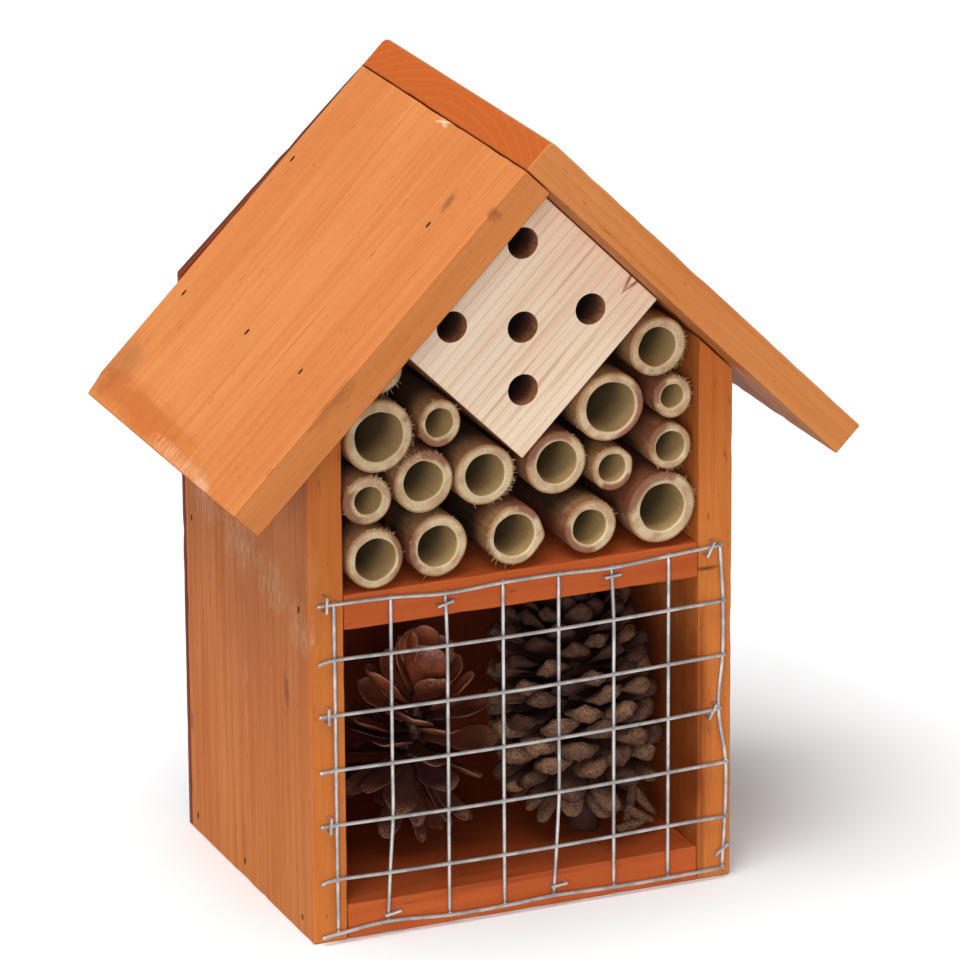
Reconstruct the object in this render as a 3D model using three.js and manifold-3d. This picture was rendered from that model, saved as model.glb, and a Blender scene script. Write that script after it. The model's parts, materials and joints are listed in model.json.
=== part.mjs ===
// Insect hotel: a small gabled timber house with an open front.
// The gable holds a drilled pine block and packed bamboo canes. Below the shelf, two pine cones
// sit behind a welded wire mesh that is stapled over the front.
//
// Millimetres. X runs to the right, Y from the open front to the back, Z up.
// The model is built with y = 0 on the front edges of the side panels. The whole group is then
// moved along Y, so that the origin is the bottom centre of the overall box.

import * as THREE from 'three';
import { mergeVertices } from 'three/addons/utils/BufferGeometryUtils.js';
import Module from 'manifold-3d';

const wasm = await Module();
wasm.setup();

// ---------- driving dimensions ----------

const boardThickness = 12;
const bodyWidth = 148;
const bodyDepth = 112;
const ridgeHeight = 267.5;
const roofBoardWidth = 153;
const roofOverhang = 24;
const shelfUnderside = 106.3;
const backThickness = 3;
const fitGap = 0.3;

// The back panel's slopes are a little flatter than the roof's.
const backEaveHeight = 195;
const backRidgeHeight = 265.4;

// The left roof board has lost its low back corner: down the slope, and along the eave.
const cornerLossDown = 8;
const cornerLossBack = 2.5;

const blockSide = 66.8;
const blockDepth = 110;
const blockHoleDiameter = 10.4;
const blockHoleDepth = 70;

const caneBack = 111.5;
const caneNodeThickness = 14;

const coneCoreWidth = 0.4;
const coneScaleThickness = 2.4;
const coneBaseTilt = -30;
const coneTipTilt = 65;

const wireDiameter = 1.4;
const meshColumns = 8;
const meshRows = 7;
const meshPitchX = 19.45;
const meshPitchZ = 18.85;
const meshLeft = -65.9;
const meshBottom = 3.6;
const meshStubLength = 6;

const stapleWidth = 5.8;
const stapleWire = 0.8;
const stapleLegDepth = 5;

const bradDiameter = 1.2;
const bradLength = 25;
const bradShortLength = 15;
const bradHeadDepth = 0.5;

const hangerWidth = 45;
const hangerHeight = 12;
const hangerThickness = 1;
const hangerPlaceHeight = 214;
const prongDepth = 2.2;

// Sides of the polygons that stand for round sections.
const thinSides = 8;
const caneSides = 20;
const drillSides = 24;

// ---------- derived values ----------

const halfWidth = bodyWidth / 2;
const innerHalfWidth = halfWidth - boardThickness;
const cos45 = Math.SQRT1_2;
const innerRidgeHeight = ridgeHeight - boardThickness * Math.SQRT2;
const blockCentreHeight = innerRidgeHeight - (blockSide / 2 + fitGap) * Math.SQRT2;
const meshRight = meshLeft + (meshColumns - 1) * meshPitchX;
const meshTop = meshBottom + (meshRows - 1) * meshPitchZ;
const uprightWireY = -(fitGap + wireDiameter / 2);
const weldBite = 0.3;
const crossWireY = uprightWireY - wireDiameter + weldBite;
const hangerBack = bodyDepth + backThickness + hangerThickness;
const originY = (hangerBack - roofOverhang) / 2;

// ---------- materials ----------

function finish(color, roughness, metalness = 0) {
  return new THREE.MeshStandardMaterial({ color, roughness, metalness });
}

const stainedPine = finish(0xd6803f, 0.55);
const stainedPly = finish(0xb5622f, 0.65);
const rawPine = finish(0xecc48a, 0.7);
const bamboo = finish(0xd9bd92, 0.65);
const chestnutCone = finish(0x6b3521, 0.45);
const greyCone = finish(0x5a4436, 0.8);
const zincWire = finish(0xc9c9c6, 0.35, 1);
const nailSteel = finish(0x6e655c, 0.5, 1);

// ---------- solids ----------

// The position and index of a geometry as a manifold solid.
function toSolid(geometry) {
  const bare = geometry.clone();
  bare.deleteAttribute('normal');
  bare.deleteAttribute('uv');
  const merged = mergeVertices(bare, 1e-4);
  return new wasm.Manifold(new wasm.Mesh({
    numProp: 3,
    vertProperties: new Float32Array(merged.attributes.position.array),
    triVerts: new Uint32Array(merged.index.array),
  }));
}

function toGeometry(solid) {
  const mesh = solid.getMesh();
  const geometry = new THREE.BufferGeometry();
  geometry.setAttribute('position', new THREE.BufferAttribute(mesh.vertProperties, 3));
  geometry.setIndex(new THREE.BufferAttribute(mesh.triVerts, 1));
  geometry.computeVertexNormals();
  return geometry;
}

function cut(geometry, cutters) {
  let solid = toSolid(geometry);
  for (const cutter of cutters) {
    solid = solid.subtract(toSolid(cutter));
  }
  return toGeometry(solid);
}

function join(geometries) {
  let solid = toSolid(geometries[0]);
  for (const geometry of geometries.slice(1)) {
    solid = solid.add(toSolid(geometry));
  }
  return toGeometry(solid);
}

// A board with the given XZ outline, running back from yFront by depth.
function boardFromOutline(outline, yFront, depth) {
  const shape = new THREE.Shape(outline.map(([x, z]) => new THREE.Vector2(x, z)));
  const geometry = new THREE.ExtrudeGeometry(shape, { depth, bevelEnabled: false });
  geometry.rotateX(Math.PI / 2);
  geometry.translate(0, yFront + depth, 0);
  return geometry;
}

// A round rod between two points.
function rodBetween(start, end, diameter, sides) {
  const axis = new THREE.Vector3().subVectors(end, start);
  const geometry = new THREE.CylinderGeometry(diameter / 2, diameter / 2, axis.length(), sides);
  const turn = new THREE.Quaternion().setFromUnitVectors(
    new THREE.Vector3(0, 1, 0), axis.clone().normalize());
  geometry.applyQuaternion(turn);
  const middle = new THREE.Vector3().addVectors(start, end).multiplyScalar(0.5);
  geometry.translate(middle.x, middle.y, middle.z);
  return geometry;
}

// ---------- brad nails ----------

// Each brad is driven from a point on a board's face, along a direction into the wood.
// A roof brad's place is its distance from the ridge along the slope.
function roofBrad(side, alongSlope, y, length) {
  return {
    point: new THREE.Vector3(side * alongSlope * cos45, y, ridgeHeight - alongSlope * cos45),
    direction: new THREE.Vector3(-side * cos45, 0, -cos45),
    length,
  };
}

function sideBrad(side, y, z) {
  return {
    point: new THREE.Vector3(side * halfWidth, y, z),
    direction: new THREE.Vector3(-side, 0, 0),
    length: bradLength,
  };
}

// Two brads go into the drilled block, and three into the top of the side panel.
function roofBrads(side) {
  return [
    roofBrad(side, 43.5, 2.5, bradLength),
    roofBrad(side, 51, 106, bradLength),
    roofBrad(side, 104.5, 4, bradShortLength),
    roofBrad(side, 105, 50, bradShortLength),
    roofBrad(side, 107.5, 103, bradShortLength),
  ];
}

function sideBrads(side) {
  const shelfLine = shelfUnderside + boardThickness / 2;
  const floorLine = boardThickness / 2;
  return [
    sideBrad(side, 9, shelfLine),
    sideBrad(side, 106, shelfLine),
    sideBrad(side, 10, floorLine),
    sideBrad(side, 62, floorLine),
    sideBrad(side, 106, floorLine),
  ];
}

const brads = [-1, 1].flatMap((side) => [...roofBrads(side), ...sideBrads(side)]);

// A rod along a brad's line, between two depths below the board's face.
function bradRod({ point, direction }, startDepth, endDepth, diameter) {
  const start = point.clone().addScaledVector(direction, startDepth);
  const end = point.clone().addScaledVector(direction, endDepth);
  return rodBetween(start, end, diameter, thinSides);
}

function bradNail(brad) {
  return bradRod(brad, bradHeadDepth, brad.length, bradDiameter);
}

function bradHole(brad) {
  return bradRod(brad, -fitGap, brad.length + fitGap, bradDiameter + 2 * fitGap);
}

// ---------- staples ----------

// A staple crosses one mesh wire. Its tilt is the crown's angle from level, in degrees.
// It reaches over an upright wire, or over a cross wire that lies in front of the uprights.
const overUpright = uprightWireY - wireDiameter / 2 - fitGap;
const overCross = crossWireY - wireDiameter / 2 - fitGap;

const staples = [
  { x: -69.2, z: 117.0, tilt: 88, crownY: overCross },
  { x: -69.0, z: 79.2, tilt: 90, crownY: overCross },
  { x: -68.8, z: 41.6, tilt: 86, crownY: overCross },
  { x: -27.9, z: 111.3, tilt: 14, crownY: overUpright },
  { x: 30.6, z: 112.1, tilt: 5, crownY: overUpright },
  { x: 64.8, z: 116.6, tilt: 62, crownY: overCross },
  { x: 65.8, z: 60.0, tilt: 62, crownY: overCross },
  { x: 69.9, z: 10.5, tilt: 35, crownY: overUpright },
  { x: -47.2, z: 7.6, tilt: 10, crownY: overUpright },
  { x: 11.4, z: 7.6, tilt: 6, crownY: overUpright },
];

function placeStaplePiece(geometry, { x, z, tilt }) {
  geometry.rotateY(-THREE.MathUtils.degToRad(tilt));
  geometry.translate(x, 0, z);
  return geometry;
}

function stapleGeometry(staple) {
  const half = stapleWidth / 2;
  const crown = staple.crownY;
  const outline = [
    [-half, crown - stapleWire],
    [half, crown - stapleWire],
    [half, stapleLegDepth],
    [half - stapleWire, stapleLegDepth],
    [half - stapleWire, crown],
    [stapleWire - half, crown],
    [stapleWire - half, stapleLegDepth],
    [-half, stapleLegDepth],
  ];
  const shape = new THREE.Shape(outline.map(([x, y]) => new THREE.Vector2(x, y)));
  const geometry = new THREE.ExtrudeGeometry(shape, { depth: stapleWire, bevelEnabled: false });
  geometry.translate(0, 0, -stapleWire / 2);
  return placeStaplePiece(geometry, staple);
}

// The holes that a staple's two legs make in the wood.
function stapleHoles(staple) {
  const width = stapleWire + 2 * fitGap;
  const depth = stapleLegDepth + 2 * fitGap;
  return [-1, 1].map((side) => {
    const hole = new THREE.BoxGeometry(width, depth, width);
    hole.translate(side * (stapleWidth - stapleWire) / 2, depth / 2 - fitGap, 0);
    return placeStaplePiece(hole, staple);
  });
}

// ---------- boards ----------

const allHoles = [...brads.map(bradHole), ...staples.flatMap(stapleHoles)];

// The holes whose boxes meet the board's box.
function holesThrough(geometry) {
  geometry.computeBoundingBox();
  return allHoles.filter((hole) => {
    hole.computeBoundingBox();
    return hole.boundingBox.intersectsBox(geometry.boundingBox);
  });
}

function nailed(geometry) {
  return cut(geometry, holesThrough(geometry));
}

function sidePanel(side) {
  const slopeGap = fitGap * Math.SQRT2;
  const outline = [
    [side * halfWidth, 0],
    [side * halfWidth, innerRidgeHeight - halfWidth - slopeGap],
    [side * innerHalfWidth, innerRidgeHeight - innerHalfWidth - slopeGap],
    [side * innerHalfWidth, 0],
  ];
  return nailed(boardFromOutline(outline, 0, bodyDepth));
}

function levelBoard(underside) {
  const outline = [
    [-innerHalfWidth, underside],
    [innerHalfWidth, underside],
    [innerHalfWidth, underside + boardThickness],
    [-innerHalfWidth, underside + boardThickness],
  ];
  return nailed(boardFromOutline(outline, 0, bodyDepth));
}

// A point below the ridge, by the distances down the right slope and down the left slope.
function roofPoint(downRight, downLeft) {
  return [(downRight - downLeft) * cos45, ridgeHeight - (downRight + downLeft) * cos45];
}

function roofBoard(corners) {
  return nailed(boardFromOutline(corners, -roofOverhang, bodyDepth + roofOverhang));
}

// The right board runs over the left board's top end, and its end grain shows on the left slope.
function rightRoofBoard() {
  return roofBoard([
    roofPoint(0, 0),
    roofPoint(roofBoardWidth, 0),
    roofPoint(roofBoardWidth, boardThickness),
    roofPoint(0, boardThickness),
  ]);
}

function leftRoofBoard() {
  const board = roofBoard([
    roofPoint(0, boardThickness + fitGap),
    roofPoint(boardThickness, boardThickness + fitGap),
    roofPoint(boardThickness, roofBoardWidth),
    roofPoint(0, roofBoardWidth),
  ]);
  return cut(board, [lostCorner()]);
}

// The wedge beyond the line of the lost corner, drawn in plan: down the slope, then back.
function lostCorner() {
  const plan = [
    [roofBoardWidth - 2 * cornerLossDown, bodyDepth + cornerLossBack],
    [roofBoardWidth + cornerLossDown, bodyDepth - 2 * cornerLossBack],
    [roofBoardWidth + cornerLossDown, bodyDepth + cornerLossBack],
  ];
  const shape = new THREE.Shape(plan.map(([down, back]) => new THREE.Vector2(down, back)));
  const depth = 3 * boardThickness;
  const wedge = new THREE.ExtrudeGeometry(shape, { depth, bevelEnabled: false });
  wedge.translate(0, 0, -boardThickness);
  wedge.rotateY((3 * Math.PI) / 4);
  wedge.translate(0, 0, ridgeHeight);
  return wedge;
}

function backPanel() {
  const outline = [
    [-halfWidth, 0],
    [halfWidth, 0],
    [halfWidth, backEaveHeight],
    [0, backRidgeHeight],
    [-halfWidth, backEaveHeight],
  ];
  return cut(boardFromOutline(outline, bodyDepth, backThickness), hangerProngs(fitGap));
}

// ---------- filling ----------

// Hole centres across and up from the middle of the block's front.
const blockHoles = [
  [0.5, 24.6],
  [-24, 0],
  [0.3, -3.2],
  [23.8, -0.2],
  [0.3, -24.1],
];

function drilledBlock() {
  const half = blockSide / 2;
  const outline = [[-half, -half], [half, -half], [half, half], [-half, half]];
  const block = boardFromOutline(outline, 0, blockDepth);
  block.rotateY(Math.PI / 4);
  block.translate(0, 0, blockCentreHeight);
  const radius = blockHoleDiameter / 2;
  const drills = blockHoles.map(([across, up]) => {
    const drill = new THREE.CylinderGeometry(radius, radius, 2 * blockHoleDepth, drillSides);
    drill.translate(across, 0, blockCentreHeight + up);
    return drill;
  });
  return cut(block, [...drills, ...holesThrough(block)]);
}

// Each cane: centre across, centre height, outer diameter, bore, and how far it is set back.
const canes = [
  [-47.5, 190.5, 15.5, 9.2, 2],
  [-49, 169.5, 24.5, 17.4, 0.5],
  [-27.5, 170.5, 16, 10.2, 2],
  [-33.5, 152, 21, 14.1, 1],
  [-12, 151, 21, 14.5, 2.5],
  [-53, 148.5, 17, 9.9, 1],
  [-51, 129, 20.5, 14.7, 0],
  [-29, 130, 21, 14.5, 0.5],
  [-2.5, 130, 22.5, 14.8, 0],
  [48, 186.5, 20.5, 13.6, 1],
  [31, 168.5, 24, 17.8, 0.5],
  [53, 169, 14.5, 8.5, 0.5],
  [52, 152.5, 16, 10.9, 0.5],
  [13, 151.5, 21.5, 14.7, 2.5],
  [32.5, 147, 16, 10.1, 2],
  [24, 129, 18.5, 12.4, 0],
  [49, 132, 24.5, 16.6, 0],
];

// A cane is open at the front and closed by its own node at the back.
function caneGeometry([x, z, diameter, bore, setback]) {
  const radius = diameter / 2;
  const boreEnd = caneBack - caneNodeThickness;
  const profile = [
    [0, caneBack],
    [radius, caneBack],
    [radius, setback],
    [bore / 2, setback],
    [bore / 2, boreEnd],
    [0, boreEnd],
  ];
  const points = profile.map(([r, y]) => new THREE.Vector2(r, y)).reverse();
  const geometry = new THREE.LatheGeometry(points, caneSides);
  geometry.translate(x, 0, z);
  return geometry;
}

// Pine cones stand on their base with the tip up. A scale's tilt goes from drooping at the
// base to upright at the tip.
const goldenAngle = Math.PI * (3 - Math.sqrt(5));

const cones = {
  pine_cone_left: {
    base: new THREE.Vector3(-27, 46, 16),
    tip: new THREE.Vector3(-16, 41, 82),
    radius: 25,
    scales: 34,
    material: chestnutCone,
  },
  pine_cone_right: {
    base: new THREE.Vector3(33, 31.5, 13),
    tip: new THREE.Vector3(29, 34, 104),
    radius: 30.5,
    scales: 52,
    material: greyCone,
  },
};

// How wide the cone is at a share of its height, as a share of its largest radius.
function coneSpread(share) {
  return 0.3 + 0.7 * Math.sin(Math.PI * Math.min(1, 0.2 + 0.75 * share));
}

// One woody scale: a thin wedge, narrow at the core and wide at its tip, along +X.
function coneScale(length, width) {
  const root = 0.3 * width;
  const outline = [
    [0, -root],
    [0.7 * length, -width],
    [length, -0.55 * width],
    [length, 0.55 * width],
    [0.7 * length, width],
    [0, root],
  ];
  const shape = new THREE.Shape(outline.map(([x, y]) => new THREE.Vector2(x, y)));
  const depth = coneScaleThickness;
  const geometry = new THREE.ExtrudeGeometry(shape, { depth, bevelEnabled: false });
  geometry.translate(0, 0, -depth / 2);
  return geometry;
}

// The cone's core, a slim spindle standing on the origin.
function coneCore(radius, height) {
  const profile = [
    [0, 0],
    [0.9 * coneCoreWidth * radius, 0.02 * height],
    [coneCoreWidth * radius, 0.3 * height],
    [0.75 * coneCoreWidth * radius, 0.75 * height],
    [0, height],
  ];
  const core = new THREE.LatheGeometry(profile.map(([r, y]) => new THREE.Vector2(r, y)), 12);
  core.rotateX(Math.PI / 2);
  return core;
}

function coneGeometry({ base, tip, radius, scales }) {
  const axis = new THREE.Vector3().subVectors(tip, base);
  const height = axis.length();
  const pieces = [coneCore(radius, height)];
  for (let i = 0; i < scales; i += 1) {
    const share = (i + 0.5) / scales;
    const tilt = THREE.MathUtils.lerp(coneBaseTilt, coneTipTilt, share);
    const scale = coneScale(radius * coneSpread(share) - 0.5, (0.28 - 0.12 * share) * radius);
    scale.rotateY(-THREE.MathUtils.degToRad(tilt));
    scale.translate(0, 0, height * (0.16 + 0.68 * share));
    scale.rotateZ(i * goldenAngle);
    pieces.push(scale);
  }
  const cone = join(pieces);
  const turn = new THREE.Quaternion().setFromUnitVectors(
    new THREE.Vector3(0, 0, 1), axis.normalize());
  cone.applyQuaternion(turn);
  cone.translate(base.x, base.y, base.z);
  return cone;
}

// ---------- wire mesh ----------

// Welded mesh: uprights against the wood, cross wires welded on their front.
function wireMesh() {
  const wireEnd = wireDiameter / 2;
  const wires = [];
  for (let column = 0; column < meshColumns; column += 1) {
    const x = meshLeft + column * meshPitchX;
    wires.push(rodBetween(
      new THREE.Vector3(x, uprightWireY, meshBottom - wireEnd),
      new THREE.Vector3(x, uprightWireY, meshTop + wireEnd), wireDiameter, thinSides));
  }
  for (let row = 0; row < meshRows; row += 1) {
    const z = meshBottom + row * meshPitchZ;
    wires.push(rodBetween(
      new THREE.Vector3(meshLeft - meshStubLength, crossWireY, z),
      new THREE.Vector3(meshRight + wireEnd, crossWireY, z), wireDiameter, thinSides));
  }
  return join(wires);
}

// ---------- hanger ----------

// A sawtooth hanger pressed into the back panel by two prongs.
function hangerProngs(clearance) {
  const width = hangerThickness + 2 * clearance;
  const height = hangerHeight / 2 + 2 * clearance;
  const depth = prongDepth + clearance + hangerThickness / 2;
  const deepest = bodyDepth + backThickness - prongDepth - clearance;
  return [-1, 1].map((side) => {
    const prong = new THREE.BoxGeometry(width, depth, height);
    prong.translate(side * (hangerWidth / 2 - 2), deepest + depth / 2, hangerPlaceHeight);
    return prong;
  });
}

function hangerGeometry() {
  const teeth = 7;
  const toothDepth = 2;
  const toothSpan = 28;
  const halfPlate = hangerWidth / 2;
  const halfHeight = hangerHeight / 2;
  const outline = [[-halfPlate, halfHeight], [-halfPlate, -halfHeight]];
  for (let tooth = 0; tooth < teeth; tooth += 1) {
    const left = -toothSpan / 2 + (tooth * toothSpan) / teeth;
    outline.push([left, -halfHeight]);
    outline.push([left + toothSpan / teeth / 2, -halfHeight + toothDepth]);
  }
  outline.push([toothSpan / 2, -halfHeight], [halfPlate, -halfHeight], [halfPlate, halfHeight]);
  const raised = outline.map(([x, z]) => [x, z + hangerPlaceHeight]);
  const plate = boardFromOutline(raised, bodyDepth + backThickness, hangerThickness);
  return join([plate, ...hangerProngs(0)]);
}

// ---------- assembly ----------

const hotel = new THREE.Group();
hotel.position.y = -originY;

function add(name, geometry, material) {
  const mesh = new THREE.Mesh(geometry, material);
  mesh.name = name;
  hotel.add(mesh);
}

function numbered(name, index) {
  return `${name}_${String(index + 1).padStart(2, '0')}`;
}

add('side_panel_left', sidePanel(-1), stainedPine);
add('side_panel_right', sidePanel(1), stainedPine);
add('bottom_board', levelBoard(0), stainedPine);
add('shelf', levelBoard(shelfUnderside), stainedPine);
add('roof_board_left', leftRoofBoard(), stainedPine);
add('roof_board_right', rightRoofBoard(), stainedPine);
add('back_panel', backPanel(), stainedPly);
add('drilled_block', drilledBlock(), rawPine);
canes.forEach((cane, i) => add(numbered('bamboo_cane', i), caneGeometry(cane), bamboo));
Object.entries(cones).forEach(([name, cone]) => add(name, coneGeometry(cone), cone.material));
add('wire_mesh', wireMesh(), zincWire);
staples.forEach((staple, i) => add(numbered('staple', i), stapleGeometry(staple), zincWire));
brads.forEach((brad, i) => add(numbered('brad_nail', i), bradNail(brad), nailSteel));
add('sawtooth_hanger', hangerGeometry(), zincWire);

export default hotel;
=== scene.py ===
"""Insect hotel: detailed pieces, materials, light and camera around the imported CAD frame.

Metres, in the CAD frame: +X to the right, +Y from the open front to the back, +Z up. A piece that
stands for a CAD node takes its place and its size from that node.
"""

import json
import random
from math import copysign, cos, exp, hypot, pi, radians, sin, sqrt

import bmesh
import bpy
from mathutils import Matrix, Quaternion, Vector, noise


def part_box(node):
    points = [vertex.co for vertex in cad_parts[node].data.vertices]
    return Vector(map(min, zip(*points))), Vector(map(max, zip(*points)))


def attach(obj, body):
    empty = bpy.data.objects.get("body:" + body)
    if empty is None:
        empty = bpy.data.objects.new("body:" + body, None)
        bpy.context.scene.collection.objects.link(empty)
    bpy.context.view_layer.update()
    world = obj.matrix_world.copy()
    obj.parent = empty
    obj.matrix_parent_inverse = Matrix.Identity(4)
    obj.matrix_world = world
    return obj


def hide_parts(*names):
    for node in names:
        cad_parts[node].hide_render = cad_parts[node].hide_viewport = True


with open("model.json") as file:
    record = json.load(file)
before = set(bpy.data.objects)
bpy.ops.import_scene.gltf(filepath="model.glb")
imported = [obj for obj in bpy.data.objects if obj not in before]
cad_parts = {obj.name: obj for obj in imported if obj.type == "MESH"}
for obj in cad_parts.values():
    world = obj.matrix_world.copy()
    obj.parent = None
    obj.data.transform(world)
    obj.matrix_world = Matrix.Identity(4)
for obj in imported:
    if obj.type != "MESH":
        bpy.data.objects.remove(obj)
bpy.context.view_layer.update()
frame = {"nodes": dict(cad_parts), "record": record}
cad_nodes = frame["nodes"]

MM = 0.001
GOLDEN_ANGLE = pi * (3 - sqrt(5))
DIAGONAL = sqrt(0.5)
FRONT_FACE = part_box("side_panel_left")[0].y

# ---------- colours ----------


def srgb(red, green, blue):
    """A colour given as 0 to 255 screen values, as linear RGBA."""

    def linear(value):
        value /= 255
        return value / 12.92 if value <= 0.04045 else ((value + 0.055) / 1.055) ** 2.4

    return (linear(red), linear(green), linear(blue), 1.0)


STAIN_PALE = srgb(214, 137, 76)
STAIN_DEEP = srgb(194, 112, 56)
STAIN_END = srgb(184, 88, 28)
PANEL_PALE = srgb(212, 124, 58)
PANEL_DEEP = srgb(190, 102, 46)
SHELF_PALE = srgb(200, 96, 46)
SHELF_DEEP = srgb(176, 80, 37)
# The back panel's plywood tones are darkened as painted shade, for the inside of the house that lies
# in shade.
PLY_PALE_PAINTED_SHADE = srgb(128, 54, 24)
PLY_DEEP_PAINTED_SHADE = srgb(100, 38, 16)
KNOT_BROWN = srgb(112, 56, 30)
SCUFF_PALE = srgb(240, 200, 164)
# Painted shade for the inside of the house.
INSIDE_PAINTED_SHADE = srgb(108, 38, 10)
PINE_PALE = srgb(255, 233, 206)
PINE_DEEP = srgb(244, 206, 172)
PINE_STREAK = srgb(196, 130, 94)
BORE_TAN = srgb(200, 138, 90)
BORE_BROWN_AND_PAINTED_SHADE = srgb(88, 44, 22)
PLY_GLUE = srgb(92, 48, 26)
CANE_CUT = srgb(218, 194, 156)
CANE_BUNDLE = srgb(172, 130, 90)
CANE_LINING = srgb(244, 222, 182)
CANE_BORE = srgb(196, 166, 112)
CANE_SKIN = srgb(160, 112, 66)
CANE_STAIN = srgb(124, 64, 40)
CHESTNUT_DEEP = srgb(88, 40, 26)
CHESTNUT_PALE = srgb(158, 80, 50)
CHESTNUT_RIM_AND_HIGHLIGHT = srgb(186, 132, 102)
HOLE_PAINTED_SHADE = srgb(36, 17, 10)
CANE_PAINTED_SHADE = srgb(40, 21, 10)
CHESTNUT_PAINTED_SHADE = srgb(58, 34, 29)
GREY_DEEP = srgb(58, 32, 24)
GREY_PALE = srgb(136, 100, 76)
GREY_SPECK = srgb(46, 30, 24)
ZINC = srgb(206, 204, 202)
ZINC_DULL = srgb(164, 162, 161)
STEEL = srgb(96, 84, 74)
STEEL_DARK = srgb(60, 46, 38)
PIT_DARK = srgb(48, 24, 14)
PIT_PALE = srgb(104, 54, 28)

# ---------- node trees ----------


class Finish:
    """One material's node tree. Each method adds nodes and returns the output socket."""

    def __init__(self, name):
        self.material = bpy.data.materials.new(name)
        self.material.use_nodes = True
        self.tree = self.material.node_tree
        self.shader = self.tree.nodes["Principled BSDF"]

    def set(self, socket, value):
        if isinstance(value, bpy.types.NodeSocket):
            self.tree.links.new(value, socket)
        else:
            socket.default_value = value

    def shade(self, name, value):
        """Sets an input of the shader, by a link or as a constant."""
        self.set(self.shader.inputs[name], value)

    def coat(self, colour, roughness):
        self.shade("Base Color", colour)
        self.shade("Roughness", roughness)

    def node(self, kind, values, output=0, **settings):
        made = self.tree.nodes.new("ShaderNode" + kind)
        for key, value in settings.items():
            setattr(made, key, value)
        for key, value in values.items():
            self.set(made.inputs[key], value)
        return made.outputs[output]

    def position(self):
        return self.node("TexCoord", {}, "Object")

    def attribute(self, name):
        return self.node("Attribute", {}, "Fac", attribute_name=name)

    def transform(self, vector, location=(0, 0, 0), rotation=(0, 0, 0), scale=(1, 1, 1)):
        return self.node(
            "Mapping",
            {"Vector": vector, "Location": location, "Rotation": rotation, "Scale": scale},
        )

    def noise(self, vector, scale, detail=3.0, roughness=0.5):
        return self.node(
            "TexNoise",
            {"Vector": vector, "Scale": scale, "Detail": detail, "Roughness": roughness},
            "Fac",
        )

    def stretched(self, vector, scale, detail, roughness=0.5):
        """Noise with its own scale along each axis."""
        return self.noise(self.transform(vector, scale=scale), 1.0, detail, roughness)

    def math(self, operation, first, second=0.0):
        return self.node("Math", {0: first, 1: second}, operation=operation)

    def times(self, first, second):
        return self.math("MULTIPLY", first, second)

    def plus(self, first, second):
        return self.math("ADD", first, second)

    def remap(self, value, low, high, to_low=0.0, to_high=1.0):
        """Value from low to high, as to_low to to_high, held at both ends."""
        return self.node(
            "MapRange",
            {"Value": value, "From Min": low, "From Max": high, "To Min": to_low, "To Max": to_high},
            interpolation_type="SMOOTHSTEP",
        )

    def mix(self, share, first, second):
        made = self.tree.nodes.new("ShaderNodeMix")
        made.data_type = "RGBA"
        sockets = {socket.identifier: socket for socket in made.inputs}
        self.set(sockets["Factor_Float"], share)
        self.set(sockets["A_Color"], first)
        self.set(sockets["B_Color"], second)
        return next(o for o in made.outputs if o.identifier == "Result_Color")

    def tint(self, base, tone, value, low, high, most=1.0):
        """The base colour, with more of the tone as the value goes from low to high."""
        return self.mix(self.remap(value, low, high, 0.0, most), base, tone)

    def dots(self, vector, scale, small, large):
        """1 inside round dots spread evenly but at random, and 0 between them."""
        away = self.node("TexVoronoi", {"Vector": vector, "Scale": scale}, "Distance")
        return self.remap(away, small, large, 1.0, 0.0)

    def relief(self, height, strength, distance):
        values = {"Height": height, "Strength": strength, "Distance": distance}
        self.shade("Normal", self.node("Bump", values))

    def spot(self, grain, centre, radii, turn):
        """1 at the centre of an ellipse in grain coordinates, and 0 outside its ragged edge."""
        inside = self.node(
            "Mapping",
            {"Vector": grain, "Location": centre, "Rotation": (0, 0, turn), "Scale": radii},
            vector_type="TEXTURE",
        )
        reach = self.node("VectorMath", {0: inside}, "Value", operation="LENGTH")
        ragged = self.plus(reach, self.noise(inside, 2.5))
        return self.remap(ragged, 0.8, 1.5, 1.0, 0.0)


# ---------- wood materials ----------

# How far a mark reaches into the wood, in millimetres.
MARK_DEPTH = 6.0

# The wave texture's period, for a scale of 1.
WAVE_PERIOD = 2 * pi / 20


def grain_turn(along, across):
    """The rotation from row axes to a board's own: along the grain, across it, and through."""
    along, across = Vector(along).normalized(), Vector(across).normalized()
    return Matrix((along, across, along.cross(across)))


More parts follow.
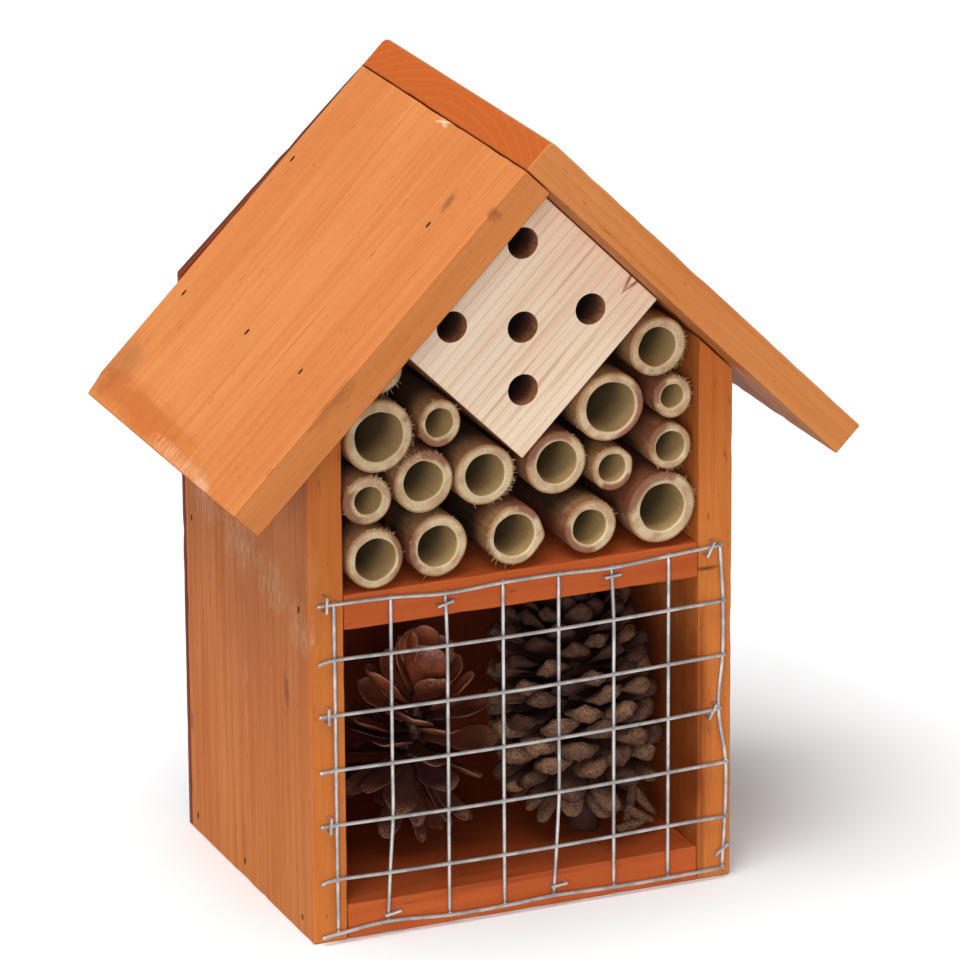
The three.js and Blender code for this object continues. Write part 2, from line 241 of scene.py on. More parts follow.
def wood(name, along, across, pith, tones, spacing, contrast, fleck=0.6, spots=(), scuffs=()):
    """Sawn softwood. The growth rings lie around a line along the grain, at the pith's place.

    The tones are the pale wood, the deep wood and the end grain. Each spot or scuff is its place
    in the row frame, its radii along and across the grain in millimetres, its turn in degrees,
    its colour and its strength. A spot is a soft patch, and a scuff is many short scratches.
    """
    finish = Finish(name)
    pale, deep, end = tones
    turn = grain_turn(along, across)
    grain = finish.transform(
        finish.position(), rotation=turn.to_euler(), scale=(1 / MM, 1 / MM, 1 / MM)
    )
    trunk = finish.transform(grain, location=pith, scale=(0.04, 1, 1))
    wander = {"Distortion": 3.0, "Detail": 2.0, "Detail Scale": 0.25}
    rings = finish.node(
        "TexWave", {"Vector": trunk, "Scale": WAVE_PERIOD / spacing, **wander}, "Fac",
        wave_type="RINGS", rings_direction="X", wave_profile="SAW",
    )
    latewood = finish.remap(rings, 0.6, 0.99)
    blotches = finish.stretched(grain, (0.01, 0.035, 0.035), 2.0)
    streaks = finish.stretched(grain, (0.012, 0.3, 0.3), 5.0, 0.6)
    hairs = finish.stretched(grain, (0.025, 2.6, 2.6), 2.0)
    flecks = finish.stretched(grain, (0.16, 1.3, 1.3), 1.0)
    scratches = finish.stretched(grain, (0.14, 1.5, 1.5), 4.0, 0.65)

    colour = finish.tint(pale, deep, blotches, 0.3, 0.7, 0.5)
    colour = finish.tint(colour, deep, streaks, 0.4, 0.68, 0.5)
    colour = finish.mix(finish.times(latewood, contrast), colour, end)
    colour = finish.tint(colour, end, hairs, 0.58, 0.72, 0.3)
    colour = finish.tint(colour, KNOT_BROWN, flecks, 0.7, 0.78, fleck)

    normal = finish.node("NewGeometry", {}, "Normal")
    facing = finish.node(
        "VectorMath", {0: normal, 1: Vector(along).normalized()}, "Value", operation="DOT_PRODUCT"
    )
    end_share = finish.remap(finish.math("ABSOLUTE", facing), 0.5, 0.85)
    end_tone = finish.mix(finish.times(latewood, 0.3), end, deep)
    colour = finish.mix(end_share, colour, end_tone)

    for marks, cover in ((spots, 1.0), (scuffs, finish.remap(scratches, 0.42, 0.66))):
        for place, radii, mark_turn, tint, strength in marks:
            centre = turn @ (Vector(place) / MM)
            share = finish.spot(grain, centre, (*radii, MARK_DEPTH), radians(mark_turn))
            share = finish.times(share, cover)
            colour = finish.mix(finish.times(share, strength), colour, tint)

    finish.coat(colour, finish.remap(streaks, 0.3, 0.7, 0.5, 0.64))
    relief = finish.plus(finish.times(latewood, 0.4), streaks)
    relief = finish.plus(relief, finish.times(hairs, 0.6))
    finish.relief(relief, 0.25, 0.12 * MM)
    finish.shade("Specular IOR Level", 0.14)
    return finish.material


def pit_wood():
    """The torn, darkened wood inside a nail pit."""
    finish = Finish("nail_pit")
    speckle = finish.noise(finish.position(), 4000.0)
    colour = finish.tint(PIT_DARK, PIT_PALE, speckle, 0.3, 0.7)
    finish.coat(colour, 0.9)
    return finish.material


# ---------- mesh helpers ----------


def lump(x, y, z):
    """Smooth noise between about -1 and 1."""
    return noise.noise(Vector((x, y, z)))


def to_mesh(name, shape, material):
    mesh = bpy.data.meshes.new(name)
    shape.to_mesh(mesh)
    shape.free()
    mesh.materials.append(material)
    return mesh


def add_object(name, data):
    made = bpy.data.objects.new(name, data)
    bpy.context.scene.collection.objects.link(made)
    return made


def add_piece(name, shape, material, node):
    """A piece from a bmesh, riding on the root body in place of a CAD node."""
    piece = add_object(name, to_mesh(name, shape, material))
    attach(piece, "root")
    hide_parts(node)
    return piece


def loft(shape, rings):
    """A closed skin through rings of points, with both ends capped. Returns its rows of verts."""
    rows = [[shape.verts.new(point) for point in ring] for ring in rings]
    for lower, upper in zip(rows, rows[1:]):
        for i in range(len(lower)):
            shape.faces.new((lower[i - 1], lower[i], upper[i], upper[i - 1]))
    shape.faces.new(rows[0])
    shape.faces.new(rows[-1][::-1])
    return rows


def smooth(shape):
    for face in shape.faces:
        face.smooth = True


def finish_shell(shape):
    bmesh.ops.recalc_face_normals(shape, faces=shape.faces)
    smooth(shape)


def tube(shape, path, radius, sides):
    """A round rod along a path, with slightly rounded ends."""
    rings = []
    across = (path[1] - path[0]).orthogonal()
    for i, point in enumerate(path):
        before, after = path[max(i - 1, 0)], path[min(i + 1, len(path) - 1)]
        along = (after - before).normalized()
        across = (across - across.dot(along) * along).normalized()
        up = across.cross(along)
        reach = radius * (0.75 if i in (0, len(path) - 1) else 1.0)
        ring = []
        for k in range(sides):
            angle = 2 * pi * k / sides
            ring.append(point + reach * (cos(angle) * across + sin(angle) * up))
        rings.append(ring)
    return loft(shape, rings)


def keep_flat_faces(piece):
    piece.modifiers.new("flat_faces", "WEIGHTED_NORMAL").keep_sharp = True


def soften(piece, width):
    """Rounds a CAD piece's sharp edges and keeps its flat faces flat."""
    piece.modifiers.new("weld", "WELD").merge_threshold = 0.001 * MM
    bevel = piece.modifiers.new("rounded", "BEVEL")
    bevel.width = width
    bevel.segments = 3
    bevel.limit_method = "ANGLE"
    keep_flat_faces(piece)
    for polygon in piece.data.polygons:
        polygon.use_smooth = True


def subtract(piece, cutter_mesh):
    """Takes the cutter out of a piece. The cut faces keep the cutter's material."""
    cutter = add_object("cutter", cutter_mesh)
    cut = piece.modifiers.new("cut", "BOOLEAN")
    cut.object = cutter
    cut.operation = "DIFFERENCE"
    cut.solver = "EXACT"
    cut.material_mode = "TRANSFER"
    bpy.context.view_layer.update()
    evaluated = piece.evaluated_get(bpy.context.evaluated_depsgraph_get())
    piece.data = bpy.data.meshes.new_from_object(evaluated)
    piece.modifiers.clear()
    bpy.data.objects.remove(cutter)


# ---------- boards ----------

PIT_HALF_LENGTH = 1.35 * MM
PIT_HALF_WIDTH = 0.8 * MM
PIT_DEPTH = 0.9 * MM
EDGE_ROUNDING = 0.6 * MM
RIDGE_ROUNDING = 2.4 * MM
SLICE = 5 * MM

# Wear: how deep and how far apart the hollows and the edges' dents are. The periods are in
# millimetres. A vertex is on a flat face if its own normal is almost that of the face.
HOLLOW_DEPTH = 0.1 * MM
HOLLOW_PERIOD = 28
DENT_DEPTH = 0.55 * MM
DENT_PERIOD = 6
ALMOST_FLAT = 0.995


def hull_of(node):
    """The board that a CAD node stands for, with whole flat faces in place of its nail holes."""
    shape = bmesh.new()
    for vertex in cad_nodes[node].data.vertices:
        shape.verts.new(vertex.co)
    bmesh.ops.remove_doubles(shape, verts=shape.verts, dist=0.01 * MM)
    found = bmesh.ops.convex_hull(shape, input=shape.verts)
    inner = {v for v in found["geom_interior"] + found["geom_unused"] if v.is_valid}
    loose = [v for v in shape.verts if v in inner]
    bmesh.ops.delete(shape, geom=loose, context="VERTS")
    bmesh.ops.dissolve_limit(
        shape, angle_limit=radians(2), verts=shape.verts, edges=shape.edges
    )
    return shape


def sharp_edges(shape):
    limit = radians(35)
    return [e for e in shape.edges if len(e.link_faces) == 2 and e.calc_face_angle() > limit]


def round_edges(shape, edges, width, segments):
    bmesh.ops.bevel(
        shape, geom=edges, offset=width, offset_type="OFFSET", segments=segments,
        profile=0.5, affect="EDGES", clamp_overlap=True,
    )


def slice_along(shape, direction):
    """Cuts the faces into strips across a direction, so that the surface can be uneven."""
    reach = [v.co.dot(direction) for v in shape.verts]
    place = min(reach) + SLICE
    while place < max(reach) - 0.5 * SLICE:
        everything = shape.verts[:] + shape.edges[:] + shape.faces[:]
        bmesh.ops.bisect_plane(
            shape, geom=everything, plane_co=place * direction, plane_no=direction
        )
        place += SLICE


def weather(shape, seed):
    """Sinks the surface a little and unevenly, and dents the edges more than the faces."""
    shape.normal_update()
    moves = []
    for vertex in shape.verts:
        facing = max(abs(f.normal.dot(vertex.normal)) for f in vertex.link_faces)
        place = vertex.co / MM + Vector((0, 0, 50 * seed))
        hollow = 0.5 + 0.5 * noise.noise(place / HOLLOW_PERIOD)
        dent = max(0.0, noise.noise(place / DENT_PERIOD) - 0.15) if facing < ALMOST_FLAT else 0.0
        moves.append(HOLLOW_DEPTH * hollow + DENT_DEPTH * dent)
    for vertex, move in zip(shape.verts, moves):
        vertex.co -= move * vertex.normal


def cut_pits(piece, pits, along, outward):
    """Cuts small oval pits, longer along the grain, at the places where the nails went in."""
    shape = bmesh.new()
    across = outward.cross(along)
    for i, place in enumerate(pits):
        size = 1 + 0.25 * lump(i * 3.7, 0.5, 0.5)
        axes = Matrix((along, across, outward)).transposed().to_4x4()
        stretch = Matrix.Diagonal((size * PIT_HALF_LENGTH, size * PIT_HALF_WIDTH, PIT_DEPTH, 1))
        matrix = Matrix.Translation(place) @ axes @ stretch
        bmesh.ops.create_icosphere(shape, subdivisions=2, radius=1, matrix=matrix)
    subtract(piece, to_mesh("pit_cutter", shape, pit_material))


def nail_heads(numbers, outward):
    """Where the named brads' heads come to the surface, just outside their own ends."""
    places = []
    for number in numbers:
        points = [v.co for v in cad_nodes[f"brad_nail_{number:02d}"].data.vertices]
        furthest = max(p.dot(outward) for p in points)
        tops = [p for p in points if p.dot(outward) > furthest - 0.05 * MM]
        places.append(sum(tops, Vector()) / len(tops) + 0.4 * MM * outward)
    return places


def board(node, along, across, material, seed, slot="stained_pine", ridge=False, pits=None):
    """A sawn board in place of a CAD node: rounded, slightly uneven, with its nail pits."""
    along, across = Vector(along).normalized(), Vector(across).normalized()
    shape = hull_of(node)
    if ridge:
        top = max(v.co.z for v in shape.verts)
        peak = [e for e in shape.edges if all(v.co.z > top - MM for v in e.verts)]
        round_edges(shape, peak, RIDGE_ROUNDING, 4)
    round_edges(shape, sharp_edges(shape), EDGE_ROUNDING, 3)
    slice_along(shape, along)
    slice_along(shape, across)
    weather(shape, seed)
    smooth(shape)
    piece = add_piece(f"{node}_sawn", shape, material, node)
    if pits:
        numbers, outward = pits
        outward = Vector(outward).normalized()
        cut_pits(piece, nail_heads(numbers, outward), along, outward)
    keep_flat_faces(piece)
    return piece


# ---------- drilled block ----------

DRILL_RADIUS = 5.2 * MM
DRILL_DEPTH = 70 * MM


def openings(prefix):
    """The boxes of the record's openings whose names start with the prefix."""
    stated = frame["record"]["physics"]["openings"]
    boxes = [o["box_m"] for o in stated if o["name"].startswith(prefix)]
    return [(Vector(low), Vector(high)) for low, high in boxes]


def drilled_block():
    """The pine block. The walls of its drilled holes are rougher than its faces, and painted darker
    further in, as shade.
    """
    shape = hull_of("drilled_block")
    round_edges(shape, sharp_edges(shape), 0.5 * MM, 2)
    smooth(shape)
    piece = add_piece("block_drilled", shape, block_material, "drilled_block")
    drills = bmesh.new()
    for low, high in openings("block_hole"):
        middle = (low + high) / 2
        place = Matrix.Translation((middle.x, FRONT_FACE, middle.z))
        bmesh.ops.create_cone(
            drills, cap_ends=True, segments=48, radius1=DRILL_RADIUS, radius2=DRILL_RADIUS,
            depth=2 * DRILL_DEPTH, matrix=place @ Matrix.Rotation(pi / 2, 4, "X"),
        )
    subtract(piece, to_mesh("drills", drills, hole_material))
    keep_flat_faces(piece)


def hole_wood():
    """Drilled wood: tan near the front, and browner and darker further in, which is painted shade."""
    finish = Finish("drilled_wall")
    place = finish.position()
    rings = finish.stretched(place, (700, 220, 700), 4.0)
    inwards = finish.node("SeparateXYZ", {"Vector": place}, "Y")
    # Painted shade: the walls turn browner further into each hole.
    colour = finish.mix(
        finish.remap(inwards, FRONT_FACE, FRONT_FACE + 8 * MM), BORE_TAN, BORE_BROWN_AND_PAINTED_SHADE
    )
    colour = finish.tint(colour, BORE_BROWN_AND_PAINTED_SHADE, rings, 0.4, 0.65, 0.5)
    # Painted shade: darker still, deeper in the holes.
    painted_shade_share = finish.remap(inwards, FRONT_FACE + 6 * MM, FRONT_FACE + 14 * MM)
    colour = finish.mix(painted_shade_share, colour, HOLE_PAINTED_SHADE)
    finish.coat(colour, 0.8)
    finish.relief(rings, 0.3, 0.15 * MM)
    return finish.material


# ---------- bamboo canes ----------

CANE_SIDES = 72
SKIN_STATIONS = 14
CUT_STATIONS = 9
BORE_STATIONS = 9
SAW_MARK = 0.2 * MM
LIP = 0.2 * MM
BORE_START = 0.7 * MM
STAIN_WIDTH = 60
FRAY_SPREAD = 38
FIBRES_PER_FRAY = 2
FIBRE_RADIUS = 0.09 * MM
FIBRE_SHAPE = ((0, 1), (0.35, 0.8), (0.7, 0.6), (1, 0.3))

# The outer edge is rounded off: how far back and how far in each of its steps lies.
CANE_EDGE = ((0.9 * MM, 0.0), (0.45 * MM, 0.1 * MM), (0.18 * MM, 0.3 * MM))
CUT_INSET = 0.55 * MM

# How each cane, from 01 to 17, differs from a round one: its ovality and the direction of its
# long side, where a reddish stain lies on its rim and how strong it is, where its rim is frayed,
# and how many fibres it has. Angles are in degrees, from the right and upwards.
CANE_LOOKS = [
    (0.05, 40, 200, 0.8, 270, 4), (0.05, 75, 20, 0.2, 5, 16), (0.08, 80, 235, 0.8, 120, 10),
    (0.04, 60, 60, 0.5, 95, 16), (0.03, 20, 10, 0.1, 320, 22), (0.04, 10, 210, 0.8, 90, 18),
    (0.04, 100, 10, 0.9, 80, 14), (0.04, 70, 190, 0.5, 150, 8), (0.05, 80, 60, 0.5, 185, 18),
    (0.05, 45, 265, 0.4, 350, 14), (0.05, 25, 330, 1.0, 170, 8), (0.06, 95, 150, 0.7, 60, 14),
    (0.05, 110, 130, 0.6, 300, 8), (0.03, 50, 110, 0.9, 60, 6), (0.05, 100, 290, 0.9, 130, 6),
    (0.04, 40, 220, 0.9, 95, 10), (0.04, 60, 125, 1.0, 30, 8),
]

# Small swellings of two canes' outlines: where they are, how far they reach and how wide they are.
CANE_BUDS = {9: (-8, 0.09, 16), 15: (25, 0.05, 14)}


def angle_between(first, second):
    """The unsigned difference of two directions, in degrees."""
    return abs((first - second + 180) % 360 - 180)


def hump(distance, width):
    return exp(-((distance / width) ** 2))


def cane_radii(node):
    """The outer and the bore radius of a CAD cane, from the corners of its front."""
    low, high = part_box(node)
    middle = (low + high) / 2
    points = [v.co for v in cad_nodes[node].data.vertices if v.co.y < low.y + 0.01 * MM]
    reach = [hypot(p.x - middle.x, p.z - middle.z) for p in points]
    return max(reach), min(reach)


def cane(seed, look):
    """A sawn cane: skin, cut end with a thin lining, and a bore that ends at its own node."""
    node = f"bamboo_cane_{seed:02d}"
    ovality, long_side, stain_side, stain, frayed_side, fibres = look
    bud_side, bud_height, bud_width = CANE_BUDS.get(seed, (0, 0.0, 1))
    low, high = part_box(node)
    middle = (low + high) / 2
    outer, bore = cane_radii(node)
    drift = Vector((lump(seed, 0.3, 0), 0, lump(seed, 7.3, 0)))
    drift *= 0.25 * (outer - bore)

    def outline(degrees, depth):
        squash = ovality * (0.5 - 0.5 * cos(2 * radians(degrees - long_side)))
        bud = bud_height * hump(angle_between(degrees, bud_side), bud_width)
        turned = radians(degrees)
        uneven = 1 + lump(2 * cos(turned), 2 * sin(turned), seed + 12 * depth)
        return outer * (1 - bud_height - squash - 0.015 * uneven + bud)

    def hollow(degrees):
        turned = radians(degrees)
        uneven = lump(1.4 * cos(turned), 1.4 * sin(turned), seed + 5)
        return bore * (0.97 + 0.05 * uneven)

    def point(degrees, radius, y, centre):
        turned = radians(degrees)
        return Vector((centre.x + radius * cos(turned), y, centre.z + radius * sin(turned)))

    degrees_round = [360 * k / CANE_SIDES for k in range(CANE_SIDES)]
    rings, walls = [], []
    for k in range(SKIN_STATIONS + 1):
        y = high.y + (low.y + 1.5 * MM - high.y) * k / SKIN_STATIONS
        rings.append([point(a, outline(a, y), y, middle) for a in degrees_round])
        walls.append(1.0)
    for back, inwards in CANE_EDGE:
        edge = [(a, outline(a, low.y) - inwards) for a in degrees_round]
        rings.append([point(a, radius, low.y + back, middle) for a, radius in edge])
        walls.append(1.0)
    for k in range(CUT_STATIONS + 1):
        share = 1 - k / CUT_STATIONS
        centre = middle + (1 - share) * drift
        ring = []
        for a in degrees_round:
            radius = hollow(a) + share * (outline(a, low.y) - CUT_INSET - hollow(a))
            saw = lump(radius * 900, radians(a) * 3, seed)
            lip = LIP if k == CUT_STATIONS else 0.0
            ring.append(point(a, radius, low.y + lip + SAW_MARK * (0.5 + 0.5 * saw), centre))
        rings.append(ring)
        walls.append(share)
    bore_end = openings(node.replace("bamboo_cane", "cane_bore"))[0][1].y
    for k in range(1, BORE_STATIONS + 1):
        y = low.y + BORE_START + (bore_end - low.y) * (k / BORE_STATIONS) ** 2
        rings.append([point(a, 0.99 * hollow(a), y, middle + drift) for a in degrees_round])
        walls.append(0.0)

    shape = bmesh.new()
    wall_layer = shape.verts.layers.float.new("wall")
    depth_layer = shape.verts.layers.float.new("depth")
    stain_layer = shape.verts.layers.float.new("stain")
    for row, wall in zip(loft(shape, rings), walls):
        for a, vertex in zip(degrees_round, row):
            vertex[wall_layer] = wall
            vertex[depth_layer] = (vertex.co.y - low.y) / MM
            vertex[stain_layer] = stain * hump(angle_between(a, stain_side), STAIN_WIDTH)
    generator = random.Random(seed)
    for _ in range(FIBRES_PER_FRAY * fibres):
        a = generator.gauss(frayed_side, FRAY_SPREAD)
        root = point(a, outline(a, low.y) - 0.3 * MM, low.y + 0.3 * MM, middle)
        outward = point(a, 1.0, 0.0, Vector()).normalized()
        fibre(shape, root, outward, generator, (wall_layer, depth_layer))
    finish_shell(shape)
    add_piece(f"{node}_cut", shape, cane_material, node)


def fibre(shape, root, outward, generator, layers):
    """A thin torn strand that leaves the rim and curls away."""
    wall_layer, depth_layer = layers
    length = generator.uniform(0.6, 1.8) * MM
    sideways = outward.cross(Vector((0, 1, 0))) * generator.uniform(-0.8, 0.8)
    forward = Vector((0, generator.uniform(-0.5, 0.3), 0))
    heading = (outward + sideways + forward).normalized()
    droop = Vector((0, 0, generator.uniform(-0.5, 0.2)))
    path = [root + length * (t * heading + t * t * droop) for t, _ in FIBRE_SHAPE]
    for row, (_, thin) in zip(tube(shape, path, FIBRE_RADIUS, 4), FIBRE_SHAPE):
        middle = sum((v.co for v in row), Vector()) / len(row)
        for vertex in row:
            vertex.co = middle + thin * (vertex.co - middle)
            vertex[wall_layer] = 0.6
            vertex[depth_layer] = 0.0


def bamboo():
    """Cut bamboo: fibre bundles in the wall, a bright lining, an olive bore and a stained skin. Bore
    and skin carry painted shade further back from the cut.
    """
    finish = Finish("bamboo")
    place = finish.position()
    wall, depth, stain = (finish.attribute(name) for name in ("wall", "depth", "stain"))
    bundles = finish.stretched(place, (2600, 500, 2600), 2.0)
    cloud = finish.noise(place, 190.0, 4.0)
    patches = finish.noise(place, 80.0, 2.0)
    length_streaks = finish.stretched(place, (900, 18, 900), 4.0)

    cut = finish.tint(CANE_CUT, CANE_BUNDLE, cloud, 0.35, 0.65, 0.7)
    packed = finish.times(
        finish.remap(bundles, 0.5, 0.64), finish.remap(wall, 0.2, 1.0, 0.25, 0.8)
    )
    cut = finish.mix(packed, cut, CANE_BUNDLE)
    cut = finish.mix(finish.remap(wall, 0.04, 0.14, 0.6, 0.0), cut, CANE_LINING)
    cut = finish.tint(cut, CANE_SKIN, wall, 0.8, 1.0, 0.75)

    bore = finish.tint(CANE_BORE, CANE_SKIN, length_streaks, 0.35, 0.7, 0.12)
    bore = finish.tint(bore, CANE_BUNDLE, patches, 0.45, 0.7, 0.45)
    # Painted shade: the bore darkens further in, where the hole lies in shade.
    bore = finish.tint(bore, CANE_PAINTED_SHADE, depth, 3.0, 20.0, 0.72)
    skin = finish.tint(CANE_SKIN, CANE_BUNDLE, length_streaks, 0.3, 0.7)
    skin = finish.tint(skin, CANE_STAIN, patches, 0.5, 0.7, 0.3)
    # Painted shade: the skin darkens further back, in the gaps between the canes.
    skin = finish.tint(skin, CANE_PAINTED_SHADE, depth, 2.5, 15.0, 0.9)
    side = finish.tint(bore, skin, wall, 0.4, 0.6)
    colour = finish.tint(cut, side, depth, 0.5, 1.2)

    ragged = finish.plus(stain, finish.times(cloud, 1.2))
    near_skin = finish.remap(wall, 0.1, 0.55)
    share = finish.times(finish.remap(ragged, 0.75, 1.15, 0.0, 0.8), near_skin)
    colour = finish.mix(share, colour, CANE_STAIN)
    finish.coat(colour, finish.remap(length_streaks, 0.3, 0.7, 0.55, 0.8))
    relief = finish.plus(bundles, finish.times(length_streaks, 0.2))
    finish.relief(relief, 0.4, 0.15 * MM)
    return finish.material


# ---------- pine cones ----------

SCALE_SIDES = 16
SCALE_STATIONS = 10
WIDEST = 0.62


def width_share(t, root, blunt):
    """How wide a scale is along its length: narrow at the root, then wide with a round tip."""
    body = root + (1 - root) * min(1.0, t / WIDEST) ** 1.3
    tip = max(0.0, (t - WIDEST) / (1 - WIDEST))
    return body * sqrt(1 - (1 - blunt) * tip**2.4)


def chestnut_thickness(t):
    return 0.75 + 0.25 * sin(pi * t) - 0.45 * t**3


def grey_thickness(t):
    """Thin at the root, and thick near the end, where the closed cone showed it."""
    swell = exp(-(((t - 0.88) / 0.17) ** 2))
    return 0.26 + 0.74 * swell - 0.12 * t**6


# How the scales of each cone are shaped: their width at the root, how blunt the tip is, how sharp
# their side edges are, how far the sides are raised, and how thick they are along their length.
CHESTNUT_SHAPE = (0.3, 0.04, 1.0, 0.3, chestnut_thickness)
GREY_SHAPE = (0.4, 0.12, 1.35, -0.08, grey_thickness)
FRAGMENT_SHAPE = (0.8, 0.35, 1.2, 0.1, chestnut_thickness)


def power_curve(value, power):
    return copysign(abs(value) ** power, value)


def cone_scale(shape, layers, place, size, bend, look, generator, bare=0.0):
    """One woody scale: lofted sections from its root along +X, curling up, its sides raised.

    The bare share of a whole scale has broken off at its root, and the rest is weathered paler.
    """
    length, width, thick = size
    root, blunt, sharpness, cup, thickness = look
    along_layer, edge_layer, tone_layer = layers
    tone = generator.random()
    seed = 100 * tone
    step = 1 / SCALE_STATIONS
    x, z = 0.0, 0.0
    rings, shares = [], []
    for k in range(SCALE_STATIONS + 1):
        t = sin(0.5 * pi * k * step)
        previous = sin(0.5 * pi * max(k - 1, 0) * step)
        angle = bend * t * t
        x += cos(angle) * (t - previous) * length
        z += sin(angle) * (t - previous) * length
        up = Vector((-sin(angle), 0, cos(angle)))
        half = 0.5 * width * width_share(t, root, blunt)
        ring = []
        for i in range(SCALE_SIDES):
            turned = 2 * pi * i / SCALE_SIDES
            ragged = 1 + 0.09 * lump(t * 5, i * 0.7, seed)
            across = half * power_curve(cos(turned), sharpness) * ragged
            rise = 0.5 * thick * thickness(t) * power_curve(sin(turned), sharpness)
            rise += cup * half * cos(turned) ** 2 * t
            rise += 0.2 * thick * lump(t * 7, across * 450, seed)
            ring.append(place @ (Vector((x, across, z)) + rise * up))
        rings.append(ring)
        shares.append(t)
    for row, t in zip(loft(shape, rings), shares):
        for i, vertex in enumerate(row):
            vertex[along_layer] = lerp(bare, 1.0, t)
            vertex[edge_layer] = abs(cos(2 * pi * i / SCALE_SIDES))
            vertex[tone_layer] = tone + bare


def cone_shape():
    shape = bmesh.new()
    names = ("along", "edge", "tone")
    return shape, [shape.verts.layers.float.new(name) for name in names]


def spindle(shape, layers, stand, profile):
    """A cone's core or stalk, from pairs of a height and a radius."""
    rings = []
    for height, radius in profile:
        ring = []
        for k in range(20):
            turned = 2 * pi * k / 20
            ridge = 1 + 0.16 * lump(k * 0.9, height * 60, 3)
            around = Vector((cos(turned), sin(turned), 0)) * radius * ridge
            ring.append(stand @ (around + Vector((0, 0, height))))
        rings.append(ring)
    for row in loft(shape, rings):
        for vertex in row:
            vertex[layers[2]] = 0.4


def aimed(axis, place, direction):
    """The matrix that turns an axis to a direction and moves the origin to a place."""
    turn = Vector(axis).rotation_difference(Vector(direction))
    return Matrix.Translation(place) @ turn.to_matrix().to_4x4()


def scale_place(stand, height, azimuth, core, tilt, roll):
    """The matrix of a scale's root on the core of a cone."""
    return (
        stand
        @ Matrix.Translation((0, 0, height))
        @ Matrix.Rotation(azimuth, 4, "Z")
        @ Matrix.Translation((core, 0, 0))
        @ Matrix.Rotation(-tilt, 4, "Y")
        @ Matrix.Rotation(roll, 4, "X")
    )


def lerp(first, second, share):
    return first + (second - first) * share


# The open cone's scales that show, from its tip down. Each has its root's height, the side that it
# points to, its tilt, its length and its width, in millimetres and degrees from +X.
OPEN_FRONT_SCALES = [
    (53, 95, 66, 18, 14), (52, 168, 66, 19, 14), (52, -15, 60, 17, 11), (49, -113, 62, 20, 15.5),
    (45, -165, 26, 24, 14), (45, -32, 38, 20, 11.5), (44, -72, 22, 21, 13), (46, -95, 40, 19, 13),
    (41, -118, 12, 24, 14), (39, -88, 8, 23, 14), (40, -8, 12, 23, 13), (37, -158, 4, 25, 14),
    (34, -26, 0, 25, 14), (33, -98, -4, 24, 14), (31, -60, -8, 25, 13), (35, -132, 2, 25, 14),
    (29, -82, -14, 25, 13), (29, -136, -20, 26, 12), (27, -116, -32, 26, 12), (24, -44, -38, 24, 8.5),
    (28, -160, -30, 25, 9), (26, -100, -44, 24, 9), (25, -66, -40, 24, 8.5), (22, -30, -34, 24, 8),
    (20, -122, -48, 22, 8.5), (17, -84, -50, 19, 8),
]
OPEN_BACK_SCALES = 26
OPEN_TOP = 52
OPEN_SCALE_THICKNESS = 1.4


def open_cone():
    """The left cone: wide open, with thin, glossy, spoon-like scales that droop at the base."""
    base = Vector((-27, 0, 16)) * MM
    tip = Vector((-16, -5, 82)) * MM
    stand = aimed(UPWARDS, base, tip - base)
    generator = random.Random(11)
    shape, layers = cone_shape()
    spindle(
        shape, layers, stand,
        [(6 * MM, 2 * MM), (14 * MM, 3 * MM), (34 * MM, 3 * MM), (50 * MM, 2 * MM)],
    )
    scales = list(OPEN_FRONT_SCALES)
    for i in range(OPEN_BACK_SCALES):
        share = (i + 0.5) / OPEN_BACK_SCALES
        side = 20 + 140 * (i * GOLDEN_ANGLE / (2 * pi) % 1)
        scales.append((lerp(16, OPEN_TOP, share), side, lerp(-60, 60, share), lerp(26, 18, share), 13))
    for height, side, tilt, length, width in scales:
        share = height / OPEN_TOP
        place = scale_place(
            stand, height * MM, radians(side), lerp(6, 2.5, share) * MM,
            radians(tilt + generator.uniform(-3, 3)),
            lerp(0.8, 0.1, share) * generator.uniform(-1, 1),
        )
        cone_scale(
            shape, layers, place, (length * MM, width * MM, OPEN_SCALE_THICKNESS * MM),
            radians(lerp(-14, 34, share)), CHESTNUT_SHAPE, generator,
        )
    finish_shell(shape)
    add_piece("pine_cone_left_open", shape, chestnut_material, "pine_cone_left")


TIGHT_SCALES = 140
REFLEXED_SCALES = 14

# Broken scales that lie beside the tight cone's stalk: where each starts, where it points, and
# its length, width and thickness.
FRAGMENTS = [
    ((45, -27, 17), (0.25, 0, 1), (15, 5, 3.4)),
    ((48, -24, 28), (0.5, -0.2, -0.85), (13, 7, 3.6)),
    ((43, -28, 23), (0.7, -0.2, -0.5), (12, 6, 3.4)),
    ((41, -28, 15), (0.9, -0.1, 0.15), (12, 5, 3.2)),
]


